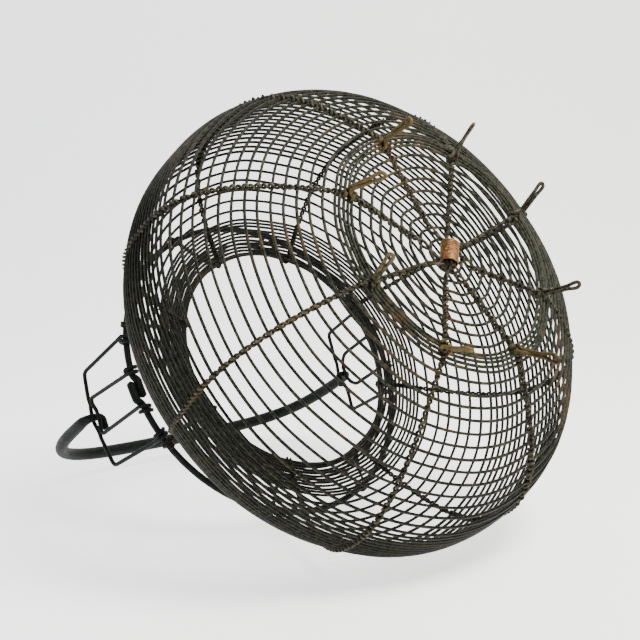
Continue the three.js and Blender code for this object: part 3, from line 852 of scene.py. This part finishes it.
# ---- camera, light and stage ----------------------------------------------------------
CAMERA_PLACE = Vector((569.5, -227.7, -453.4)) * MM
CAMERA_FORWARD = Vector((-0.6449, 0.2764, 0.7125))
CAMERA_UP = Vector((-0.0993, 0.8941, -0.4367))
CAMERA_LENS = 65.5
KEY_SIZE, KEY_POWER = 0.45, 30         # metres and watts
FILL_SIZE, FILL_POWER = 0.9, 6
KEY_WARM, FILL_COOL = (1.0, 0.965, 0.91), (0.9, 0.95, 1.0)
STUDIO_LIGHT = 0.22           # even light from all round
COOL_GLOW, WARM_GLOW = (0.95, 0.975, 1.0), (1.0, 0.98, 0.94)
WARM_REACH = 0.5             # metres each side over which the glow goes from cool to warm
BACKDROP_GLOW = 1.5         # light given off by the pale floor and backdrop
FLOOR_PITCH = math.radians(9)
STAGE_HALF_WIDTH = 2.2       # metres, as are the two below
STAGE_DEPTH = 0.35           # flat floor behind the basket
STAGE_BEND = 0.9             # radius of the curve up into the backdrop


def axes_matrix(x_axis, y_axis, z_axis, place):
    matrix = Matrix((x_axis, y_axis, z_axis)).transposed().to_4x4()
    matrix.translation = place
    return matrix


def make_camera():
    camera = bpy.data.objects.new("camera", bpy.data.cameras.new("camera"))
    bpy.context.scene.collection.objects.link(camera)
    camera.data.lens = CAMERA_LENS
    camera.data.sensor_width = 36
    camera.data.clip_start = 0.01
    forward = CAMERA_FORWARD.normalized()
    right = forward.cross(CAMERA_UP).normalized()
    up = right.cross(forward)
    camera.matrix_world = axes_matrix(right, up, -forward, CAMERA_PLACE)
    bpy.context.scene.camera = camera
    return right, up, forward


def area_light(name, place, target, size, power, colour=(1, 1, 1)):
    data = bpy.data.lights.new(name, "AREA")
    data.shape = "SQUARE"
    data.size = size
    data.energy = power
    data.color = colour
    light = bpy.data.objects.new(name, data)
    light.location = place
    light.rotation_euler = (target - place).to_track_quat("-Z", "Y").to_euler()
    bpy.context.scene.collection.objects.link(light)


def basket_middle():
    return Vector((0, 0, (cad_lo.z + cad_hi.z) / 2))


def make_lights(right, up, forward):
    middle = basket_middle()
    key_place = middle + 0.9 * up + 0.5 * right - 0.5 * forward
    fill_place = middle + 0.3 * up - 1.0 * right - 0.5 * forward
    area_light("key", key_place, middle, KEY_SIZE, KEY_POWER, KEY_WARM)
    area_light("fill", fill_place, middle, FILL_SIZE, FILL_POWER, FILL_COOL)
    world = bpy.data.worlds.new("studio")
    bpy.context.scene.world = world
    world.use_nodes = True
    background = world.node_tree.nodes["Background"]
    background.inputs["Color"].default_value = (0.80, 0.81, 0.82, 1)
    background.inputs["Strength"].default_value = STUDIO_LIGHT


def make_stage(right, up, forward):
    """A pale floor that the basket lies on, on its side, seen from its upper face only."""
    normal = (up * math.cos(FLOOR_PITCH) - forward * math.sin(FLOOR_PITCH)).normalized()
    x_axis = right
    y_axis = normal.cross(x_axis)
    lowest = min(corner.dot(normal) for corner in hull_points())
    mesh = bpy.data.meshes.new("floor")
    profile = [(-STAGE_HALF_WIDTH, 0.0)]
    for degrees in range(0, 91, 6):
        turn = math.radians(degrees)
        profile.append((STAGE_DEPTH + STAGE_BEND * math.sin(turn), STAGE_BEND * (1 - math.cos(turn))))
    profile.append((STAGE_DEPTH + STAGE_BEND, 2 * STAGE_HALF_WIDTH))
    points = [(side * STAGE_HALF_WIDTH, along, rise)
              for along, rise in profile for side in (-1, 1)]
    faces = [(2 * i, 2 * i + 1, 2 * i + 3, 2 * i + 2) for i in range(len(profile) - 1)]
    mesh.from_pydata(points, [], faces)
    mesh.polygons.foreach_set("use_smooth", [True] * len(faces))
    floor = bpy.data.objects.new("floor", mesh)
    bpy.context.scene.collection.objects.link(floor)
    middle = basket_middle()
    place = middle + normal * (lowest - middle.dot(normal) - 0.002)
    floor.matrix_world = axes_matrix(x_axis, y_axis, normal, place)
    mesh.materials.append(floor_material())


def hull_points():
    """The points of the hoop wires, the crossing wires and the bail rod."""
    for obj in bpy.context.scene.objects:
        if obj.type == "MESH" and obj.name.endswith(("_wires", "_rod")):
            for vertex in obj.data.vertices:
                yield vertex.co


def floor_material():
    n = Nodes("pale_floor")
    grain = n.remap(n.noise(6, detail=2), 0.3, 0.7)
    n.link(n.mix(grain, (0.79, 0.79, 0.785), (0.82, 0.82, 0.82)), n.shader.inputs["Base Color"])
    n.shader.inputs["Roughness"].default_value = 0.6
    sides = n.add("ShaderNodeSeparateXYZ")
    n.link(n.place, sides.inputs[0])
    rightwards = n.remap(sides.outputs["X"], -WARM_REACH, WARM_REACH)
    n.link(n.mix(rightwards, COOL_GLOW, WARM_GLOW), n.shader.inputs["Emission Color"])
    n.shader.inputs["Emission Strength"].default_value = BACKDROP_GLOW
    tree = n.tree
    geometry = n.add("ShaderNodeNewGeometry")
    clear = n.add("ShaderNodeBsdfTransparent")
    mix = n.add("ShaderNodeMixShader")
    n.link(geometry.outputs["Backfacing"], mix.inputs[0])
    n.link(n.shader.outputs[0], mix.inputs[1])
    n.link(clear.outputs[0], mix.inputs[2])
    n.link(mix.outputs[0], tree.nodes["Material Output"].inputs["Surface"])
    return n.material


def main():
    rng = random.Random(7)
    materials = make_materials()
    stations = hoop_stations(rng)
    make_hoops(stations, materials, rng)
    make_ribs(stations, materials, rng)
    make_crossing(materials, rng)
    for index in range(RIB_COUNT):
        make_foot(index, materials, rng)
    make_rim(materials)
    make_ears(materials)
    make_bail(materials)
    directions = make_camera()
    make_lights(*directions)
    make_stage(*directions)


main()
